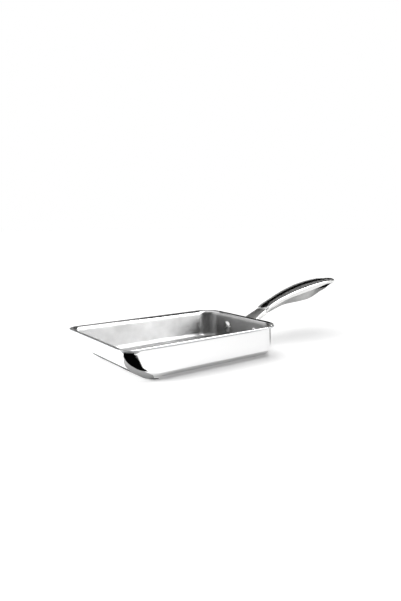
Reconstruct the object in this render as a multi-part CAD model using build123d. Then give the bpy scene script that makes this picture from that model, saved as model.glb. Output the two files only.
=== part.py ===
from build123d import *
from math import cos, radians, sin, sqrt, tan
import os

os.makedirs("parts", exist_ok=True)

# Tamagoyaki pan: a rectangular three-layer stainless pan with a riveted hollow handle.
# X runs along the pan towards the handle, Y across it and Z up, in millimetres.
# The origin is on the floor, below the centre of the rim.

# Clad sheet, from the outside in
outer_skin_thickness = 0.5
core_thickness = 1.3
inner_skin_thickness = 0.5
sheet_thickness = outer_skin_thickness + core_thickness + inner_skin_thickness

# Pan body
rim_length = 203.0
rim_width = 134.0
pan_height = 36.0
lip_overhang = 4.0
lip_roll_radius = 2.4
lip_edge_radius = 0.8
front_curve_radius = 40.0
bottom_radius = 8.0
handle_corner_radius = 20.5

# Rivets
rivet_spacing = 50.0
rivet_drop = 17.0
rivet_shank_radius = 3.0
inner_head_radius = 7.0
inner_head_height = 2.4
set_head_radius = 6.0
set_head_height = 2.0
head_edge = 0.4

# Handle bracket
flange_thickness = 3.0
flange_margin = 9.0
flange_edge_radius = 0.8
neck_root_half_width = 14.0
neck_root_drop = 12.5
neck_root_depth = 11.5
neck_root_fillet = 1.5
tongue_length = 12.0
tongue_clearance = 0.25
collar_step = 0.8

# Hollow grip, measured from the rim
grip_start = 30.0
grip_tip = 163.6
grip_rise = 36.6
grip_arch_radius = 328.0
arch_crest = 165.0
collar_dip = 1.1
collar_dip_length = 14.0
grip_half_width = 13.4
grip_depth = 25.2
grip_side_depth = 6.2
tip_radius = 12.0
tip_dip = 1.3
tip_lift_angle = 8.0
crown_angle = 9.0
grip_wall = 1.2
seam_drop = 0.8
least_fillet = 0.3

# Hanging hole
hang_hole_radius = 4.5
eyelet_wall = 1.0
hang_hole_setback = 15.0

# Corner radii of the grip's section, as shares of its half width
seam_corner_share = 0.08
top_corner_share = 0.15
crown_share = 4.4
keel_share = 0.40

# Stations along the grip: place, half width, top width, side depth and keel depth as shares
grip_station_shares = [
    (0.00, 0.64, 0.97, 0.80, 0.50),
    (0.12, 0.68, 0.97, 0.82, 0.55),
    (0.24, 0.735, 0.97, 0.76, 0.60),
    (0.36, 0.84, 0.975, 0.79, 0.715),
    (0.48, 0.93, 0.98, 0.94, 0.87),
    (0.60, 0.985, 1.00, 0.97, 0.985),
    (0.72, 1.00, 1.00, 1.02, 1.00),
    (0.82, 1.00, 1.00, 0.84, 0.86),
    (0.91, 0.98, 1.00, 0.68, 0.70),
]
tip_side_share = 0.50
tip_keel_share = 0.44

# Stations along the neck from the collar to the flange: place, width, drop and depth as shares
neck_station_shares = [
    (0.00, 0.00, 0.00, 0.00),
    (0.30, 0.14, 0.24, 0.20),
    (0.62, 0.52, 0.54, 0.55),
    (1.00, 1.00, 1.00, 1.00),
]
neck_top_share = 0.93

# Overrun of the cutters past the faces they cut, and tolerance for finding an edge by its place
overrun = 5.0
place_tolerance = 0.05

# Places that follow from the sizes
rim_x = rim_length / 2
lip_underside = pan_height - sheet_thickness
front_wall_x = -rim_x + lip_overhang
handle_wall_x = rim_x - lip_overhang
side_wall_y = rim_width / 2 - lip_overhang
front_curve_x = front_wall_x + sqrt(front_curve_radius**2 - (front_curve_radius - lip_underside) ** 2)
rivet_z = pan_height - rivet_drop
flange_face_x = handle_wall_x + flange_thickness
collar_x = rim_x + grip_start
tip_centre_x = rim_x + grip_tip - tip_radius * cos(radians(tip_lift_angle))
hang_hole_x = rim_x + grip_tip - hang_hole_setback


def is_level(edge, height):
    """True for an edge that lies in the horizontal plane at this height."""
    box = edge.bounding_box()
    return max(abs(box.min.Z - height), abs(box.max.Z - height)) < place_tolerance


def is_upright(edge, place):
    """True for an edge that lies in the plane across the pan at this place along X."""
    box = edge.bounding_box()
    return max(abs(box.min.X - place), abs(box.max.X - place)) < place_tolerance


def pool(depth):
    """Space above the sheet surface that lies this deep under the pan's outer face."""
    lip_z = lip_underside + depth
    radius = front_curve_radius - depth
    front_x = front_curve_x - sqrt(radius**2 - (front_curve_radius - lip_z) ** 2)
    back_x = handle_wall_x - depth
    half_width = side_wall_y - depth
    with BuildPart() as space:
        with BuildSketch(Plane.XZ):
            with BuildLine():
                RadiusArc((front_x, lip_z), (front_curve_x, depth), -radius)
                Polyline((front_curve_x, depth), (back_x, depth), (back_x, lip_z), (front_x, lip_z))
            make_face()
        extrude(amount=half_width, both=True)
        uprights = space.edges().filter_by(Axis.Z).sort_by(Axis.X)
        fillet(uprights[-2:], handle_corner_radius - depth)
        foot = [edge for edge in space.edges() if is_level(edge, depth)]
        foot = ShapeList(foot).sort_by(Axis.X)[1:]
        curves = space.edges().filter_by(GeomType.CIRCLE)
        curves = [edge for edge in curves if edge.bounding_box().size.Z > bottom_radius]
        fillet(foot + curves, bottom_radius - depth)
        with BuildSketch(Plane.XY.offset(lip_z)):
            Rectangle(rim_length + overrun, rim_width + overrun)
        extrude(amount=overrun + sheet_thickness - depth)
        mouth = [edge for edge in space.edges() if is_level(edge, lip_z)]
        mouth = [edge for edge in mouth if abs(edge.center().X) < rim_x]
        mouth = [edge for edge in mouth if abs(edge.center().Y) < rim_width / 2]
        fillet(mouth, lip_roll_radius + depth)
    return space.part


def rim_prism(margin, bottom, edge_radius):
    """Upright prism up to the rim, with the rim's plan less a margin, and rounded level edges."""
    with BuildPart() as prism:
        with BuildSketch(Plane.XY.offset(bottom)):
            Rectangle(rim_length - 2 * margin, rim_width - 2 * margin)
        extrude(amount=pan_height - bottom)
        uprights = prism.edges().filter_by(Axis.Z).sort_by(Axis.X)
        fillet(uprights[:2], bottom_radius + lip_overhang - margin)
        uprights = prism.edges().filter_by(Axis.Z).sort_by(Axis.X)
        fillet(uprights[-2:], handle_corner_radius + lip_overhang - margin)
        if edge_radius:
            level = [edge for edge in prism.edges() if is_level(edge, bottom) or is_level(edge, pan_height)]
            fillet(level, edge_radius)
    return prism.part


def rim_outline():
    """Space that holds the sheet: the lip with its rounded cut edge, and everything inside it below."""
    lip = rim_prism(0, lip_underside, lip_edge_radius)
    return lip + rim_prism(lip_overhang / 2, 0, 0)


def rivet_bores():
    """Both rivet shanks as plain rods, long enough to bore the wall and the flange."""
    length = sheet_thickness + flange_thickness + 2 * overrun
    rod = Plane.YZ * Circle(rivet_shank_radius)
    rod = extrude(rod, length)
    start_x = handle_wall_x - sheet_thickness - overrun
    places = [Pos(start_x, side * rivet_spacing / 2, rivet_z) for side in (-1, 1)]
    return [place * rod for place in places]


def clad_layer(outer_depth, inner_depth):
    """One layer of the clad sheet between two depths under the outer face, bored for the rivets."""
    layer = (pool(outer_depth) - pool(inner_depth)) & rim_outline()
    for bore in rivet_bores():
        layer = layer - bore
    return layer


def rivet(side):
    """Solid rivet along X: domed head inside the pan, shank, set head on the flange."""
    inner_x = handle_wall_x - sheet_thickness
    inner_edge_x = inner_x - head_edge
    set_edge_x = flange_face_x + head_edge
    inner_top_x = inner_x - inner_head_height
    set_top_x = flange_face_x + set_head_height
    with BuildPart() as solid:
        with BuildSketch():
            with BuildLine():
                TangentArc((inner_top_x, 0), (inner_edge_x, inner_head_radius), tangent=(0, 1))
                Polyline(
                    (inner_edge_x, inner_head_radius),
                    (inner_x, inner_head_radius),
                    (inner_x, rivet_shank_radius),
                    (flange_face_x, rivet_shank_radius),
                    (flange_face_x, set_head_radius),
                    (set_edge_x, set_head_radius),
                )
                TangentArc((set_top_x, 0), (set_edge_x, set_head_radius), tangent=(0, 1))
                Line((set_top_x, 0), (inner_top_x, 0))
            make_face()
        revolve(axis=Axis.X)
    return Pos(0, side * rivet_spacing / 2, rivet_z) * solid.part


def section_points(half_width, top_share, side_depth, depth):
    """Corners of the grip's section: seam, top edge, crown, top edge, seam and keel."""
    top = half_width * top_share
    crown = top * tan(radians(crown_angle))
    return [
        (-half_width, -side_depth),
        (-top, 0),
        (0, crown),
        (top, 0),
        (half_width, -side_depth),
        (0, -depth),
    ]


def inset(points, distance):
    """The same outline with every side moved inwards by a distance."""
    corners = [Vector(*point) for point in points]
    moved = []
    for index, corner in enumerate(corners):
        before = (corner - corners[index - 1]).normalized()
        after = (corners[(index + 1) % len(corners)] - corner).normalized()
        first = Vector(before.Y, -before.X)
        second = Vector(after.Y, -after.X)
        moved.append(corner + (first + second) * (distance / (1 + first.dot(second))))
    return [(point.X, point.Y) for point in moved]


def section(plane, points, half_width, wall):
    """Section face in a plane, with rounded corners, a wall's thickness inside the outer face."""
    seam_point, top_point, *others = points
    top = -top_point[0]
    seam_radius = max(seam_corner_share * half_width - wall, least_fillet)
    top_radius = max(top_corner_share * top - wall, least_fillet)
    crown_radius = crown_share * top - wall
    keel_radius = max(keel_share * half_width - wall, least_fillet)
    radii = [seam_radius, top_radius, crown_radius, top_radius, seam_radius, keel_radius]
    with BuildSketch(plane) as face:
        with BuildLine():
            FilletPolyline(*inset(points, wall), radius=radii, close=True)
        make_face()
    return face.sketch


def arch_height(x):
    """Height of the grip's top edge at a distance from the rim."""
    crown = pan_height + grip_rise - grip_arch_radius + sqrt(grip_arch_radius**2 - (arch_crest - x) ** 2)
    return crown - collar_dip * max(0, 1 - (x - grip_start) / collar_dip_length)


def grip_stations():
    """Plane, corner points, half width and seam height of every station along the grip."""
    stations = []
    reach = tip_centre_x - collar_x
    for place, width, top, side, keel in grip_station_shares:
        x = collar_x + place * reach
        z = arch_height(x - rim_x)
        half_width = width * grip_half_width
        points = section_points(half_width, top, side * grip_side_depth, keel * grip_depth)
        plane = Plane(origin=(x, 0, z), x_dir=(0, 1, 0), z_dir=(1, 0, 0))
        stations.append((plane, points, half_width))
    lift = radians(tip_lift_angle)
    z = arch_height(tip_centre_x - rim_x) - tip_dip
    points = section_points(tip_radius, 1, tip_side_share * grip_side_depth, tip_keel_share * grip_depth)
    plane = Plane(origin=(tip_centre_x, 0, z), x_dir=(0, 1, 0), z_dir=(cos(lift), 0, sin(lift)))
    stations.append((plane, points, tip_radius))
    return stations


def grip_form(wall):
    """Solid form of the grip at a depth under its outer face, with its round tip."""
    stations = grip_stations()
    body = loft([section(plane, points, width, wall) for plane, points, width in stations])
    plane, points, width = stations[-1]
    half = Rectangle(width + overrun, 2 * grip_depth, align=(Align.MAX, Align.CENTER))
    half = section(plane, points, width, wall) & (plane * half)
    tip = revolve(half, Axis(plane.origin, plane.y_dir), 180)
    return body + tip


def below_seam():
    """Everything below the weld seam that joins the two shells of the grip."""
    seam = [plane.origin + plane.y_dir * (points[0][1] - seam_drop) for plane, points, width in grip_stations()]
    start = seam[0] - Vector(overrun, 0, 0)
    end = seam[-1] + grip_stations()[-1][0].z_dir * (tip_radius + overrun)
    floor = start.Z - grip_depth
    with BuildPart() as space:
        with BuildSketch(Plane.XZ):
            with BuildLine():
                Line((start.X, start.Z), (seam[0].X, seam[0].Z))
                Spline(*[(point.X, point.Z) for point in seam])
                Polyline(
                    (seam[-1].X, seam[-1].Z),
                    (end.X, end.Z),
                    (end.X, floor),
                    (start.X, floor),
                    (start.X, start.Z),
                )
            make_face()
        extrude(amount=grip_half_width + overrun, both=True)
    return space.part


def hang_hole_rod(radius):
    """Upright rod on the hanging hole's axis, taller than the grip."""
    base_z = arch_height(hang_hole_x - rim_x) - grip_depth
    return Pos(hang_hole_x, 0, base_z) * extrude(Circle(radius), 2 * grip_depth)


def grip_shells():
    """Upper shell, lower shell and eyelet of the hollow grip."""
    outer = grip_form(0)
    tube = hang_hole_rod(hang_hole_radius + eyelet_wall)
    wall = outer - grip_form(grip_wall) - tube
    lower_space = below_seam()
    eyelet = (tube - hang_hole_rod(hang_hole_radius)) & outer
    return wall - lower_space, wall & lower_space, eyelet


def neck():
    """Neck that flares from the collar down to the flange."""
    collar_plane, collar_points, collar_width = grip_stations()[0]
    collar_top = collar_plane.origin.Z - collar_step
    root_top = pan_height - neck_root_drop
    root_x = handle_wall_x + flange_thickness / 2
    faces = []
    for place, width, drop, depth in neck_station_shares:
        x = collar_x - place * (collar_x - root_x)
        half_width = collar_width + width * (neck_root_half_width - collar_width)
        z = collar_top - drop * (collar_top - root_top)
        keel = -min(z for y, z in collar_points) - collar_step
        keel = keel + depth * (neck_root_depth - keel)
        points = section_points(half_width, neck_top_share, grip_side_depth - collar_step, keel)
        plane = Plane(origin=(x, 0, z), x_dir=(0, 1, 0), z_dir=(1, 0, 0))
        faces.append(section(plane, points, half_width, 0))
    return loft(faces)


def tongue():
    """Solid tongue of the bracket that reaches into the hollow grip."""
    inner = grip_wall + tongue_clearance
    faces = [section(plane, points, width, inner) for plane, points, width in grip_stations()]
    align = (Align.MIN, Align.CENTER, Align.CENTER)
    reach = Box(tongue_length, 2 * grip_half_width, 2 * grip_depth, align=align)
    return loft(faces) & (Pos(collar_x, 0, arch_height(grip_start)) * reach)


def handle_bracket():
    """Cast bracket: flange on the wall, neck and tongue, bored for the rivets."""
    stem = neck()
    with BuildPart() as bracket:
        with BuildSketch(Plane.YZ.offset(handle_wall_x)):
            with Locations((0, rivet_z)):
                SlotOverall(rivet_spacing + 2 * flange_margin, 2 * flange_margin)
        extrude(amount=flange_thickness)
        rim = bracket.faces().sort_by(Axis.X)[-1].edges()
        fillet(rim, flange_edge_radius)
        add(stem)
        root = [edge for edge in bracket.edges() if is_upright(edge, flange_face_x)]
        root = [edge for edge in root if abs(edge.center().Y) < neck_root_half_width]
        fillet(root, neck_root_fillet)
    solid = bracket.part + tongue()
    for bore in rivet_bores():
        solid = solid - bore
    return solid


def write(shape, name):
    """Write one node as a STEP file under its own name."""
    shape.label = name
    export_step(shape, f"parts/{name}.step")


core_depth = outer_skin_thickness + core_thickness
upper_shell, lower_shell, eyelet = grip_shells()

write(clad_layer(0, outer_skin_thickness), "outer_skin")
write(clad_layer(outer_skin_thickness, core_depth), "aluminium_core")
write(clad_layer(core_depth, sheet_thickness), "inner_skin")
write(handle_bracket(), "handle_bracket")
write(upper_shell, "grip_upper_shell")
write(lower_shell, "grip_lower_shell")
write(eyelet, "hanging_eyelet")
write(rivet(-1), "rivet_left")
write(rivet(1), "rivet_right")
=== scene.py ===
from math import cos, radians, sin, tan

import bpy
from bpy.props import FloatProperty, FloatVectorProperty, PointerProperty
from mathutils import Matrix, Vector


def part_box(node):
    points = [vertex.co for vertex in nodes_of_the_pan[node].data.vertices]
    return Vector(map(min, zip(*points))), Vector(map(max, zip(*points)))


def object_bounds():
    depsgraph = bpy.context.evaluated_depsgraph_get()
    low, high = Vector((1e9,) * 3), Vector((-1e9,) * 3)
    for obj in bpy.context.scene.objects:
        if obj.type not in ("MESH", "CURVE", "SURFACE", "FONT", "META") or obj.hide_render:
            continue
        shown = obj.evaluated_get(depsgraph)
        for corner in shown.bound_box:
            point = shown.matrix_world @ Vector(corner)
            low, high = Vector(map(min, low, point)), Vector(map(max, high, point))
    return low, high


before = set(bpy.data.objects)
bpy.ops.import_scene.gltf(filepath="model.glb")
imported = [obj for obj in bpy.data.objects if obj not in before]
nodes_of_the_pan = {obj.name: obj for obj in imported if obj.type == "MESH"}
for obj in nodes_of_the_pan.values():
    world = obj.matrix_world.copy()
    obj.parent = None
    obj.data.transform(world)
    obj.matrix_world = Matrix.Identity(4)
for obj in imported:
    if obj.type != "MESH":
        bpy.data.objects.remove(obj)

bl_info = {
    "name": "Tamagoyaki pan",
    "version": (1, 0, 0),
    "blender": (4, 5, 0),
    "location": "3D View > Sidebar > Pan",
    "description": "Finishes and studio for a rectangular clad omelette pan with a riveted hollow handle",
    "category": "Object",
}

cad_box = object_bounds()

# Blender's noise stays mostly between these two values
noise_low, noise_high = 0.3, 0.7

# A surface faces an axis fully where that share of its normal is above the second value, and not at all
# where it is below the first
facing_start, facing_full = 0.6, 0.8

# Cards that only reflections show, with colours in sRGB, distances in metres and angles in degrees.
# Their places were chosen so that the metal shows the dark and grey shapes of the photograph

# The softbox's panel, written as the far cards below, is black but for its own white glow
softbox_card = ("softbox", "#000000", 2.5, ((-68, 8, 75), (-32, 8, 75)))

# Cards on the table by the near corner: name, colour, height, and points out to the camera and sideways
corner_cards = (
    # The grey edge of the black band in the near corner
    ("grey_card", "#B4B4B4", 0.0008, (
        (0.073, -0.085), (0.069, -0.042), (0.080, -0.022), (0.094, -0.012),
        (0.112, -0.012), (0.120, -0.060), (0.105, -0.090))),
    # The black band itself
    ("black_card", "#040404", 0.001, (
        (0.090, -0.084), (0.106, -0.052), (0.110, -0.038), (0.106, -0.014), (0.106, 0.0),
        (0.145, 0.066), (0.220, 0.120), (0.260, -0.140), (0.118, -0.105))),
)

# Cards on the table round the pan: name, colour, height, and points in the pan's plan
table_cards = (
    # The thin line along the front's lower edge
    ("front_card", "#6A6A6A", 0.0006, (
        (-0.080, -0.060), (-0.060, -0.060), (-0.060, 0.060), (-0.080, 0.060))),
    # The outline of the near wall at the handle end
    ("end_card", "#202020", 0.0006, (
        (0.098, 0.010), (0.098, -0.036), (0.230, -0.045), (0.230, -0.010))),
    # The band along the near wall's foot
    ("foot_card", "#FFFFFF", 0.0007, (
        (-0.070, -0.078), (0.100, -0.078), (0.100, -0.062), (-0.070, -0.062))),
    # The dark wedge on the polished end of the grip's underside
    ("tip_card", "#101010", 0.0006, (
        (0.300, -0.030), (0.400, -0.030), (0.400, 0.080), (0.300, 0.080))),
)

# Upright cards far away: name, colour, distance, and stations of an angle round the pan and two above it
far_cards = (
    # The dark line of the far rim
    ("rim_flag", "#141414", 2.8, ((-32, 24, 60), (0, 24, 60), (28, 24, 60))),
    # The grey of the grip's top, and the dark line along its middle
    ("back_card", "#C8C8C8", 3.0, ((-5, 0, 58), (38, 0, 58), (82, 0, 58))),
    ("back_core", "#181818", 2.6, (
        (32, 4, 26), (44, 13, 34), (56, 24, 42), (68, 31, 54), (84, 40, 62))),
    # The dark room on the camera's side
    ("front_flag", "#101010", 3.0, ((-180, 0, 55), (-130, 0, 55))),
    ("camera_flag", "#101010", 3.0, ((-130, 0, 55), (-80, 0, 55))),
    # A grey wall on the far side
    ("side_flag", "#808080", 3.0, ((82, 0, 40), (112, 0, 40))),
)


# Colours and shader nodes

def linear(hex_code):
    """Linear RGBA of an sRGB hex colour."""
    values = [int(hex_code[place:place + 2], 16) / 255 for place in (1, 3, 5)]
    values = [v / 12.92 if v <= 0.04045 else ((v + 0.055) / 1.055) ** 2.4 for v in values]
    return (*values, 1.0)


def add(tree, kind, inputs=None, **settings):
    """Add a node with its settings, and link or fill its inputs."""
    node = tree.nodes.new(kind)
    for name, value in settings.items():
        setattr(node, name, value)
    for name, value in (inputs or {}).items():
        if isinstance(value, bpy.types.NodeSocket):
            tree.links.new(value, node.inputs[name])
        else:
            node.inputs[name].default_value = value
    return node


def new_metal(name, colour):
    """Bare metal: its material, node tree, coordinates in metres and shader."""
    material = bpy.data.materials.new(name)
    material.use_nodes = True
    tree = material.node_tree
    tree.nodes.clear()
    place = add(tree, "ShaderNodeTexCoord").outputs["Object"]
    shader = add(tree, "ShaderNodeBsdfPrincipled", {"Base Color": colour, "Metallic": 1.0})
    add(tree, "ShaderNodeOutputMaterial", {"Surface": shader.outputs["BSDF"]})
    return material, tree, place, shader


def streaks(tree, place, spacing, length, along):
    """Fine parallel lines of a real spacing and length along one axis, as values near 0.5."""
    scale = [1 / spacing] * 3
    scale["XYZ".index(along)] = 1 / length
    stretched = add(tree, "ShaderNodeMapping", {"Vector": place, "Scale": scale})
    noise = add(tree, "ShaderNodeTexNoise",
                {"Vector": stretched.outputs["Vector"], "Scale": 1.0, "Detail": 3.0})
    return noise.outputs["Fac"]


def grain(tree, place, spacing, detail=2.0):
    """Even grain of a real spacing, as values near 0.5."""
    noise = add(tree, "ShaderNodeTexNoise", {"Vector": place, "Scale": 1 / spacing, "Detail": detail})
    return noise.outputs["Fac"]


def spread(tree, value, low, high):
    """A pattern's values spread between a low and a high value."""
    node = add(tree, "ShaderNodeMapRange",
               {"Value": value, "From Min": noise_low, "From Max": noise_high,
                "To Min": low, "To Max": high})
    return node.outputs["Result"]


def blend_values(tree, factor, first, second):
    """One value that turns into another by a factor."""
    node = add(tree, "ShaderNodeMix", {0: factor, 2: first, 3: second}, data_type="FLOAT")
    return node.outputs[0]


def blend_colours(tree, factor, first, second):
    """One colour that turns into another by a factor."""
    node = add(tree, "ShaderNodeMix", {0: factor, 6: first, 7: second}, data_type="RGBA")
    return node.outputs[2]


def blend_directions(tree, factor, first, second):
    """One direction that turns into another by a factor."""
    node = add(tree, "ShaderNodeMix", {0: factor, 4: first, 5: second}, data_type="VECTOR")
    return node.outputs[1]


def shade(tree, value, dark, light):
    """Colour between a darker and a lighter shade, by a pattern's value."""
    return blend_colours(tree, spread(tree, value, 0.0, 1.0), dark, light)


def facing(tree, axis):
    """How squarely the surface faces along one axis of the pan, from 0 to 1."""
    normal = add(tree, "ShaderNodeTexCoord").outputs["Normal"]
    part = add(tree, "ShaderNodeSeparateXYZ", {"Vector": normal}).outputs[axis]
    size = add(tree, "ShaderNodeMath", {0: part}, operation="ABSOLUTE").outputs[0]
    node = add(tree, "ShaderNodeMapRange",
               {"Value": size, "From Min": facing_start, "From Max": facing_full},
               interpolation_type="SMOOTHSTEP")
    return node.outputs["Result"]


def rising(tree, place, start, fade):
    """0 below a height in metres, and 1 above the short fade that starts there."""
    height = add(tree, "ShaderNodeSeparateXYZ", {"Vector": place}).outputs["Z"]
    node = add(tree, "ShaderNodeMapRange", {"Value": height, "From Min": start, "From Max": start + fade})
    return node.outputs["Result"]


def relief(tree, shader, height, depth=1.0):
    """Surface relief by a pattern and its real depth, or by heights in metres."""
    bump = add(tree, "ShaderNodeBump", {"Height": height, "Strength": 1.0, "Distance": depth})
    tree.links.new(bump.outputs["Normal"], shader.inputs["Normal"])


def use(tree, shader, **values):
    """Link patterns to the shader's sockets."""
    for name, value in values.items():
        tree.links.new(value, shader.inputs[name.replace("_", " ")])


def dress(node, material):
    """Give a node of the pan its finish."""
    piece = nodes_of_the_pan[node]
    piece.data.materials.clear()
    piece.data.materials.append(material)


# Finishes

def mirror_polished_stainless(finish):
    """Magnetic stainless steel, buffed to a mirror."""
    # Buffing leaves a sharp reflection with the faintest haze and a slow ripple in the sheet
    metal, tree, place, shader = new_metal("mirror_polished_stainless", finish.outer_colour)
    haze = grain(tree, place, finish.haze_spacing, 4.0)
    wipes = streaks(tree, place, finish.wipe_spacing, finish.brush_length, "X")
    hazy = spread(tree, haze, 0.03, 0.07)
    scuffed = spread(tree, wipes, 0.16, 0.34)
    # The underside slides over hobs, so its mirror is dulled by fine straight scratches
    clear = rising(tree, place, finish.scuff_height, finish.scuff_fade)
    use(tree, shader, Roughness=blend_values(tree, clear, scuffed, hazy))
    ripple = grain(tree, place, finish.ripple_spacing, 1.0)
    relief(tree, shader, ripple, finish.ripple_depth)
    return metal


def satin_brushed_stainless(finish, rim):
    """Stainless steel cooking surface, brushed with an abrasive belt up to a lip at the rim's height."""
    # The belt lines run along the pan on its floor and long walls, and across it on the end walls
    metal, tree, place, shader = new_metal("satin_brushed_stainless", finish.inner_colour)
    lengthways = streaks(tree, place, finish.brush_spacing, finish.brush_length, "X")
    crossways = streaks(tree, place, finish.brush_spacing, finish.brush_length, "Y")
    lines = blend_values(tree, facing(tree, "X"), lengthways, crossways)
    clouds = grain(tree, place, finish.cloud_spacing, 3.0)
    # The lip is left out of the brushing and keeps the bright polish of the rim
    lip = rising(tree, place, rim - finish.lip_polish, finish.lip_fade)
    # Where the surface faces up, the floor is painted a darker grey than the walls, as painted shade for its
    # dimmer reflections
    walls = shade(tree, clouds, finish.inner_shade, finish.inner_colour)
    painted_shade = shade(tree, clouds, finish.floor_painted_shade_clouds, finish.floor_painted_shade_colour)
    brushed = blend_colours(tree, facing(tree, "Z"), walls, painted_shade)
    colour = blend_colours(tree, lip, brushed, finish.outer_colour)
    satin = spread(tree, lines, 0.34, 0.48)
    polished = spread(tree, lines, 0.04, 0.08)
    # The lines scatter light across themselves: up and down on the walls, and sideways on the floor
    across = blend_directions(tree, facing(tree, "Z"), (0, 0, 1), (0, 1, 0))
    shader.inputs["Anisotropic"].default_value = finish.brush_anisotropy
    use(tree, shader, Base_Color=colour, Tangent=across,
        Roughness=blend_values(tree, lip, satin, polished))
    relief(tree, shader, lines, finish.brush_depth)
    return metal


def rolled_aluminium(finish):
    """Pure aluminium core, sheared and dressed at the lip."""
    # The dressed edge is a touch bluer and duller than the steel on both sides of it
    metal, tree, place, shader = new_metal("rolled_aluminium", finish.core_colour)
    lines = streaks(tree, place, finish.shear_spacing, finish.wipe_spacing, "Z")
    use(tree, shader, Roughness=spread(tree, lines, 0.34, 0.52))
    relief(tree, shader, lines, finish.brush_depth)
    return metal


def cast_stainless(finish):
    """Stainless steel investment casting, polished by tumbling."""
    # Tumbling leaves soft pebbled highlights and an even grey
    metal, tree, place, shader = new_metal("cast_stainless", finish.casting_colour)
    pebbles = grain(tree, place, finish.pebble_spacing, 2.0)
    clouds = grain(tree, place, finish.cloud_spacing, 2.0)
    use(tree, shader, Base_Color=shade(tree, clouds, finish.casting_shade, finish.casting_colour),
        Roughness=spread(tree, pebbles, 0.30, 0.42))
    relief(tree, shader, pebbles, finish.pebble_depth)
    return metal


def polished_pressed_stainless(finish):
    """Pressed stainless steel sheet, polished along the handle."""
    # A sisal wheel run along the grip leaves long soft lines in a nearly bright surface
    metal, tree, place, shader = new_metal("polished_pressed_stainless", finish.grip_colour)
    lines = streaks(tree, place, finish.brush_spacing, finish.brush_length, "X")
    use(tree, shader, Roughness=spread(tree, lines, 0.08, 0.14))
    # The press leaves the top with a slight crown, which fades its dark reflection towards both edges
    across = add(tree, "ShaderNodeSeparateXYZ", {"Vector": place}).outputs["Y"]
    square = add(tree, "ShaderNodeMath", {0: across, 1: across}, operation="MULTIPLY").outputs[0]
    bend = -1 / (2 * finish.crown_radius)
    crown = add(tree, "ShaderNodeMath", {0: square, 1: bend}, operation="MULTIPLY").outputs[0]
    height = add(tree, "ShaderNodeMath", {0: lines, 1: finish.polish_depth, 2: crown},
                 operation="MULTIPLY_ADD")
    relief(tree, shader, height.outputs[0])
    return metal


def bead_blasted_stainless(finish, top):
    """Pressed stainless steel sheet, bead blasted for a dry grip but for its end near the pan's top."""
    # Glass beads leave an even soft grey with no streaks
    metal, tree, place, shader = new_metal("bead_blasted_stainless", finish.belly_colour)
    beads = grain(tree, place, finish.bead_spacing, 2.0)
    # The wheel that polishes the upper shell also takes the blasted grey off the end of the lower one
    end = rising(tree, place, top - finish.buffed_depth, finish.buffed_fade)
    blasted = spread(tree, beads, 0.38, 0.52)
    buffed = spread(tree, beads, 0.06, 0.10)
    clouds = grain(tree, place, finish.cloud_spacing, 2.0)
    use(tree, shader, Base_Color=shade(tree, clouds, finish.belly_shade, finish.belly_colour),
        Roughness=blend_values(tree, end, blasted, buffed))
    relief(tree, shader, beads, finish.bead_depth)
    return metal


def turned_stainless(finish, name, centre, across):
    """Stainless steel with turning marks round a centre, polished after turning."""
    # Faint rings round the axis pull the highlights into small arcs
    metal, tree, place, shader = new_metal(name, finish.rivet_colour)
    centred = add(tree, "ShaderNodeVectorMath", {0: place, 1: centre}, operation="SUBTRACT")
    squeezed = add(tree, "ShaderNodeVectorMath", {0: centred.outputs["Vector"], 1: across},
                   operation="MULTIPLY")
    distance = add(tree, "ShaderNodeVectorMath", {0: squeezed.outputs["Vector"]}, operation="LENGTH")
    turns = add(tree, "ShaderNodeMath", {0: distance.outputs["Value"], 1: finish.turning_spacing},
                operation="DIVIDE")
    rings = add(tree, "ShaderNodeTexNoise", {"W": turns.outputs[0], "Scale": 1.0, "Detail": 1.0},
                noise_dimensions="1D")
    use(tree, shader, Roughness=spread(tree, rings.outputs["Fac"], 0.06, 0.14))
    relief(tree, shader, rings.outputs["Fac"], finish.polish_depth)
    return metal


# Sizes and colours that a user would change

def colour_property(name, description, hex_code):
    """Colour with an sRGB hex default."""
    return FloatVectorProperty(name=name, description=description, subtype="COLOR", size=4,
                               min=0.0, max=1.0, default=linear(hex_code))


def length_property(name, description, millimetres):
    """Length with a default in millimetres."""
    return FloatProperty(name=name, description=description, unit="LENGTH", subtype="DISTANCE",
                         min=0.0, precision=6, default=millimetres / 1000)


def angle_property(name, description, degrees):
    """Angle with a default in degrees."""
    return FloatProperty(name=name, description=description, subtype="ANGLE", default=radians(degrees))


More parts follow.
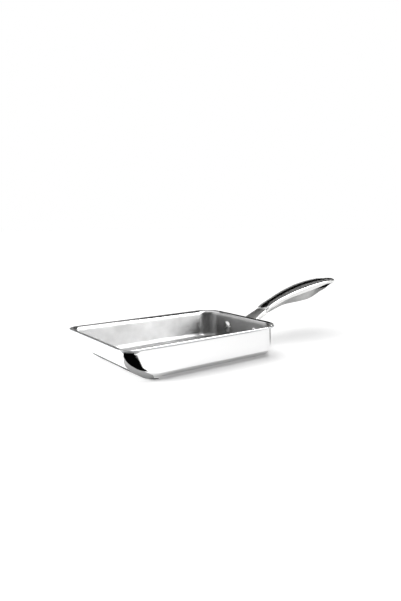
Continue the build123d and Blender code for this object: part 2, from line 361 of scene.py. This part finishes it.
class PanFinish(bpy.types.PropertyGroup):
    """Colours and surface patterns of the pan"""

    outer_colour: colour_property("Outer skin", "Mirror-polished stainless steel", "#E8E8E8")
    inner_colour: colour_property("Inner skin", "Satin-brushed stainless steel", "#DADADA")
    inner_shade: colour_property("Inner skin's clouds", "Darker shade of the inner skin", "#C4C4C4")
    # The inner floor's colour and its clouds are painted shade, a darker grey than the walls' colours
    floor_painted_shade_colour: colour_property("Inner floor", "Satin-brushed and scoured stainless steel", "#A0A0A0")
    floor_painted_shade_clouds: colour_property("Inner floor's clouds", "Darker shade of the inner floor", "#8A8A8A")
    core_colour: colour_property("Core", "Aluminium at the lip's cut edge", "#D4D6D8")
    casting_colour: colour_property("Bracket", "Tumbled stainless steel casting", "#DCDCDA")
    casting_shade: colour_property("Bracket's clouds", "Darker shade of the bracket", "#C9C9C7")
    grip_colour: colour_property("Grip", "Polished pressed stainless steel", "#E6E6E5")
    belly_colour: colour_property("Grip underside", "Bead-blasted stainless steel", "#C6C6C5")
    belly_shade: colour_property("Grip underside's clouds", "Darker shade of the underside", "#B4B4B3")
    rivet_colour: colour_property("Rivets", "Polished stainless steel", "#EDEDEC")
    brush_spacing: length_property("Brush spacing",
                                   "Between belt lines, drawn coarser than the real 0.1 mm", 0.7)
    brush_length: length_property("Brush length", "Length of a belt line", 32.0)
    brush_depth: length_property("Brush depth", "Depth of the belt lines", 0.004)
    brush_anisotropy: FloatProperty(name="Brush anisotropy",
                                    description="How much more the belt lines blur across than along",
                                    min=0.0, max=1.0, default=0.8)
    lip_polish: length_property("Lip polish", "From the rim down to where the lip's polish starts", 2.2)
    lip_fade: length_property("Lip fade", "Height over which brushing turns into polish", 1.2)
    scuff_height: length_property("Scuff height", "Height up to which hobs scratch the outer skin", 0.2)
    scuff_fade: length_property("Scuff fade", "Height over which the scratches end", 0.4)
    wipe_spacing: length_property("Scratch spacing", "Between scratches on the underside", 0.9)
    haze_spacing: length_property("Haze spacing", "Size of the polish's faint clouds", 6.0)
    ripple_spacing: length_property("Ripple spacing", "Between the slow ripples of the drawn sheet", 45.0)
    ripple_depth: length_property("Ripple depth", "Depth of the slow ripples", 0.02)
    cloud_spacing: length_property("Cloud spacing", "Size of the satin finish's faint clouds", 18.0)
    shear_spacing: length_property("Shear mark spacing", "Between shear marks on the core's edge", 0.5)
    pebble_spacing: length_property("Pebble spacing", "Between the casting's pebbles", 1.6)
    pebble_depth: length_property("Pebble depth", "Depth of the casting's pebbles", 0.006)
    polish_depth: length_property("Polish depth", "Depth of polishing and turning lines", 0.0015)
    crown_radius: length_property("Crown radius", "Radius of the crown across the grip's top", 110.0)
    bead_spacing: length_property("Bead spacing",
                                  "Between bead marks, drawn coarser than the real 0.1 mm", 0.5)
    bead_depth: length_property("Bead depth", "Depth of the bead marks", 0.004)
    buffed_depth: length_property("Buffed end", "From the pan's top down to where buffing starts", 11.68)
    buffed_fade: length_property("Buffed fade", "Height over which the blasted grey ends", 0.7)
    turning_spacing: length_property("Turning spacing", "Between turning rings on rivets and eyelet", 0.5)


class PanStudio(bpy.types.PropertyGroup):
    """Floor, lamps and camera"""

    floor_colour: colour_property("Floor", "Matt white table", "#F7F7F7")
    floor_size: length_property("Floor size", "Side of the table", 16000.0)
    floor_glow: FloatProperty(name="Floor glow", description="Share of its own light in the floor",
                              default=0.34)
    ambient: FloatProperty(name="Ambient", description="Light from all round on matt surfaces",
                           default=0.03)
    sheen_strength: FloatProperty(name="Softbox", description="Strength of the softbox that the metal shows",
                                  default=7.0)
    roof_strength: FloatProperty(name="Roof light", description="Strength of the wide light behind the pan",
                                 default=2.45)
    roof_turn: angle_property("Roof light turn", "Angle round the pan, from the handle", 110.0)
    roof_tilt: angle_property("Roof light tilt", "Angle above the table", 82.0)
    roof_spread: angle_property("Roof light spread", "Angle that the roof light fills", 70.0)
    fill_power: FloatProperty(name="Fill lamp", description="Power of the small lamp that thins the shadow",
                              unit="POWER", default=2.5)
    fill_turn: angle_property("Fill lamp turn", "Angle round the pan, from the handle", 172.0)
    fill_tilt: angle_property("Fill lamp tilt", "Angle above the table", 15.0)
    fill_distance: length_property("Fill lamp distance", "From the pan's origin", 420.0)
    fill_size: length_property("Fill lamp size", "Side of the square lamp", 200.0)
    camera_place: FloatVectorProperty(name="Camera place", description="Place of the camera",
                                      subtype="TRANSLATION", unit="LENGTH", size=3,
                                      default=(-0.3078, -0.4590, 0.1507))
    camera_turn: angle_property("Camera turn", "Angle round the pan, from the handle", -126.69)
    camera_tilt: angle_property("Camera tilt", "Angle above the pan", 8.85)
    camera_lens: FloatProperty(name="Lens", description="Focal length in millimetres", default=30.12)
    camera_clip: length_property("Camera clip", "Nearest distance that the camera sees", 10.0)


# Operators, one for each group of pieces

class PAN_OT_clad_sheet(bpy.types.Operator):
    """Finish the three layers of the pan's clad sheet"""

    bl_idname = "pan.clad_sheet"
    bl_label = "Clad sheet"

    def execute(self, context):
        finish = context.scene.pan_finish
        dress("outer_skin", mirror_polished_stainless(finish))
        dress("aluminium_core", rolled_aluminium(finish))
        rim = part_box("inner_skin")[1].z
        dress("inner_skin", satin_brushed_stainless(finish, rim))
        return {"FINISHED"}


class PAN_OT_rivets(bpy.types.Operator):
    """Finish the two rivets that hold the handle"""

    bl_idname = "pan.rivets"
    bl_label = "Rivets"

    def execute(self, context):
        finish = context.scene.pan_finish
        for node in ("rivet_left", "rivet_right"):
            low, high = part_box(node)
            dress(node, turned_stainless(finish, "turned_" + node, (low + high) / 2, (0, 1, 1)))
        return {"FINISHED"}


class PAN_OT_handle_bracket(bpy.types.Operator):
    """Finish the cast bracket and its neck"""

    bl_idname = "pan.handle_bracket"
    bl_label = "Handle bracket"

    def execute(self, context):
        dress("handle_bracket", cast_stainless(context.scene.pan_finish))
        return {"FINISHED"}


class PAN_OT_hollow_grip(bpy.types.Operator):
    """Finish the two shells of the hollow grip and the tube of its hanging hole"""

    bl_idname = "pan.hollow_grip"
    bl_label = "Hollow grip"

    def execute(self, context):
        finish = context.scene.pan_finish
        dress("grip_upper_shell", polished_pressed_stainless(finish))
        top = cad_box[1][2]
        dress("grip_lower_shell", bead_blasted_stainless(finish, top))
        low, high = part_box("hanging_eyelet")
        tube = turned_stainless(finish, "turned_eyelet", (low + high) / 2, (1, 1, 0))
        dress("hanging_eyelet", tube)
        return {"FINISHED"}


# Studio

def matt_panel(name, colour, corners, faces):
    """Flat or bent studio panel with a matt colour, as part of the stage."""
    mesh = bpy.data.meshes.new(name)
    mesh.from_pydata(corners, [], faces)
    panel = bpy.data.objects.new(name, mesh)
    bpy.context.scene.collection.objects.link(panel)
    material = bpy.data.materials.new(name)
    material.use_nodes = True
    shader = material.node_tree.nodes["Principled BSDF"]
    shader.inputs["Base Color"].default_value = colour
    shader.inputs["Roughness"].default_value = 1.0
    shader.inputs["Specular IOR Level"].default_value = 0.0
    mesh.materials.append(material)
    return panel


def direction(turn, tilt):
    """Unit vector by an anticlockwise angle round the pan from the handle, and one above the table."""
    return Vector((cos(turn) * cos(tilt), sin(turn) * cos(tilt), sin(tilt)))


def flag(name, colour, corners, faces):
    """Matt card that only reflections show."""
    card = matt_panel(name, linear(colour), corners, faces)
    card.visible_camera = card.visible_diffuse = card.visible_shadow = card.visible_transmission = False
    return card


def table_card(name, colour, height, outline):
    """Card that lies flat, by points in the pan's plan."""
    corners = [(x, y, height) for x, y in outline]
    return flag(name, colour, corners, [range(len(corners))])


def corner_card(name, colour, height, outline, turn):
    """Card that lies flat, by points out along an angle round the pan and to the right of it."""
    out = direction(turn, 0)
    side = direction(turn + radians(90), 0)
    return table_card(name, colour, height, [(out * reach + side * shift).xy for reach, shift in outline])


def far_card(name, colour, distance, stations):
    """Upright card far away, by stations of an angle round the pan and two above it, in degrees."""
    corners = []
    for turn, low, high in stations:
        x, y = direction(radians(turn), 0).xy * distance
        corners += [(x, y, distance * tan(radians(low))), (x, y, distance * tan(radians(high)))]
    faces = [(k, k + 2, k + 3, k + 1) for k in range(0, len(corners) - 2, 2)]
    return flag(name, colour, corners, faces)


def glow_where_seen(tree, strength):
    """Give a matt panel a white glow that camera and mirror rays see, and that lights no matt surface."""
    shader = tree.nodes["Principled BSDF"]
    shader.inputs["Emission Color"].default_value = (1, 1, 1, 1)
    glow = add(tree, "ShaderNodeMath", {0: seen_directly(tree), 1: strength}, operation="MULTIPLY")
    tree.links.new(glow.outputs[0], shader.inputs["Emission Strength"])


def seen_directly(tree):
    """1 for camera rays and the mirror and glass rays after them, 0 for light on matt surfaces."""
    path = add(tree, "ShaderNodeLightPath").outputs
    mirrored = add(tree, "ShaderNodeMath", {0: path["Is Camera Ray"], 1: path["Is Glossy Ray"]},
                   operation="MAXIMUM")
    sharp = add(tree, "ShaderNodeMath", {0: mirrored.outputs[0], 1: path["Is Transmission Ray"]},
                operation="MAXIMUM")
    clear = add(tree, "ShaderNodeMath", {0: sharp.outputs[0], 1: path["Diffuse Depth"]},
                operation="SUBTRACT", use_clamp=True)
    return clear.outputs[0]


def white_floor(studio):
    """Matt white table, which glows a little where it is seen and so ends in the white background."""
    reach = studio.floor_size / 2
    corners = [(-reach, -reach, 0), (reach, -reach, 0), (reach, reach, 0), (-reach, reach, 0)]
    floor = matt_panel("floor", studio.floor_colour, corners, [(0, 1, 2, 3)])
    glow_where_seen(floor.data.materials[0].node_tree, studio.floor_glow)


def white_world(studio):
    """White all round for the camera and for reflections, and a softer ambient light on matt surfaces."""
    world = bpy.data.worlds.new("white_studio")
    world.use_nodes = True
    bpy.context.scene.world = world
    tree = world.node_tree
    strength = blend_values(tree, seen_directly(tree), studio.ambient, 1.0)
    background = tree.nodes["Background"]
    background.inputs["Color"].default_value = (1, 1, 1, 1)
    tree.links.new(strength, background.inputs["Strength"])


def lamp(name, kind, turn, tilt, distance=0.0):
    """Lamp that no reflection shows, aimed at the pan from an angle round it and one above it."""
    light = bpy.data.objects.new(name, bpy.data.lights.new(name, kind))
    bpy.context.scene.collection.objects.link(light)
    away = direction(turn, tilt)
    light.location = away * distance
    light.rotation_mode = "QUATERNION"
    light.rotation_quaternion = away.to_track_quat("Z", "Y")
    light.visible_glossy = False
    return light.data


def roof_light(studio):
    """Wide soft light from high up behind the pan, which gives it its shadow on the near side."""
    roof = lamp("roof_light", "SUN", studio.roof_turn, studio.roof_tilt)
    roof.energy, roof.angle = studio.roof_strength, studio.roof_spread


def softbox(studio):
    """Glowing panel that only the metal's reflections show."""
    panel = far_card(*softbox_card)
    glow_where_seen(panel.data.materials[0].node_tree, studio.sheen_strength)


def fill_lamp(studio):
    """Small square lamp that thins the shadow in front of the pan."""
    fill = lamp("fill", "AREA", studio.fill_turn, studio.fill_tilt, studio.fill_distance)
    fill.energy, fill.size = studio.fill_power, studio.fill_size


def cards(studio):
    """Cards whose reflections draw the dark and grey shapes in the metal."""
    for name, colour, height, outline in corner_cards:
        corner_card(name, colour, height, outline, studio.camera_turn)
    for card in table_cards:
        table_card(*card)
    for card in far_cards:
        far_card(*card)


def photograph_camera(studio):
    """Camera low on the near left of the pan."""
    data = bpy.data.cameras.new("camera")
    data.lens = studio.camera_lens
    data.clip_start = studio.camera_clip
    camera = bpy.data.objects.new("camera", data)
    bpy.context.scene.collection.objects.link(camera)
    camera.location = studio.camera_place
    camera.rotation_mode = "QUATERNION"
    camera.rotation_quaternion = direction(studio.camera_turn, studio.camera_tilt).to_track_quat("Z", "Y")
    bpy.context.scene.camera = camera


class PAN_OT_studio_stage(bpy.types.Operator):
    """Set the white floor, the lamps, the cards and the camera"""

    bl_idname = "pan.studio_stage"
    bl_label = "Studio stage"

    def execute(self, context):
        studio = context.scene.pan_studio
        white_world(studio)
        white_floor(studio)
        roof_light(studio)
        softbox(studio)
        fill_lamp(studio)
        cards(studio)
        photograph_camera(studio)
        context.scene.view_settings.view_transform = "Standard"
        return {"FINISHED"}


class PAN_PT_finish(bpy.types.Panel):
    """The pan's pieces, finishes and studio"""

    bl_idname = "PAN_PT_finish"
    bl_label = "Tamagoyaki pan"
    bl_space_type = "VIEW_3D"
    bl_region_type = "UI"
    bl_category = "Pan"

    def draw(self, context):
        for operator in pan_operators:
            self.layout.operator(operator.bl_idname)
        for group in (context.scene.pan_finish, context.scene.pan_studio):
            box = self.layout.box()
            for name in group.__annotations__:
                box.prop(group, name)


# Registration

pan_operators = (PAN_OT_clad_sheet, PAN_OT_rivets, PAN_OT_handle_bracket, PAN_OT_hollow_grip,
                 PAN_OT_studio_stage)
pan_classes = (PanFinish, PanStudio, *pan_operators, PAN_PT_finish)


def register():
    for pan_class in pan_classes:
        bpy.utils.register_class(pan_class)
    bpy.types.Scene.pan_finish = PointerProperty(type=PanFinish)
    bpy.types.Scene.pan_studio = PointerProperty(type=PanStudio)


def unregister():
    del bpy.types.Scene.pan_studio
    del bpy.types.Scene.pan_finish
    for pan_class in reversed(pan_classes):
        bpy.utils.unregister_class(pan_class)


def main():
    """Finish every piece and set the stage."""
    register()
    bpy.ops.pan.clad_sheet()
    bpy.ops.pan.rivets()
    bpy.ops.pan.handle_bracket()
    bpy.ops.pan.hollow_grip()
    bpy.ops.pan.studio_stage()


if __name__ == "__main__":
    main()
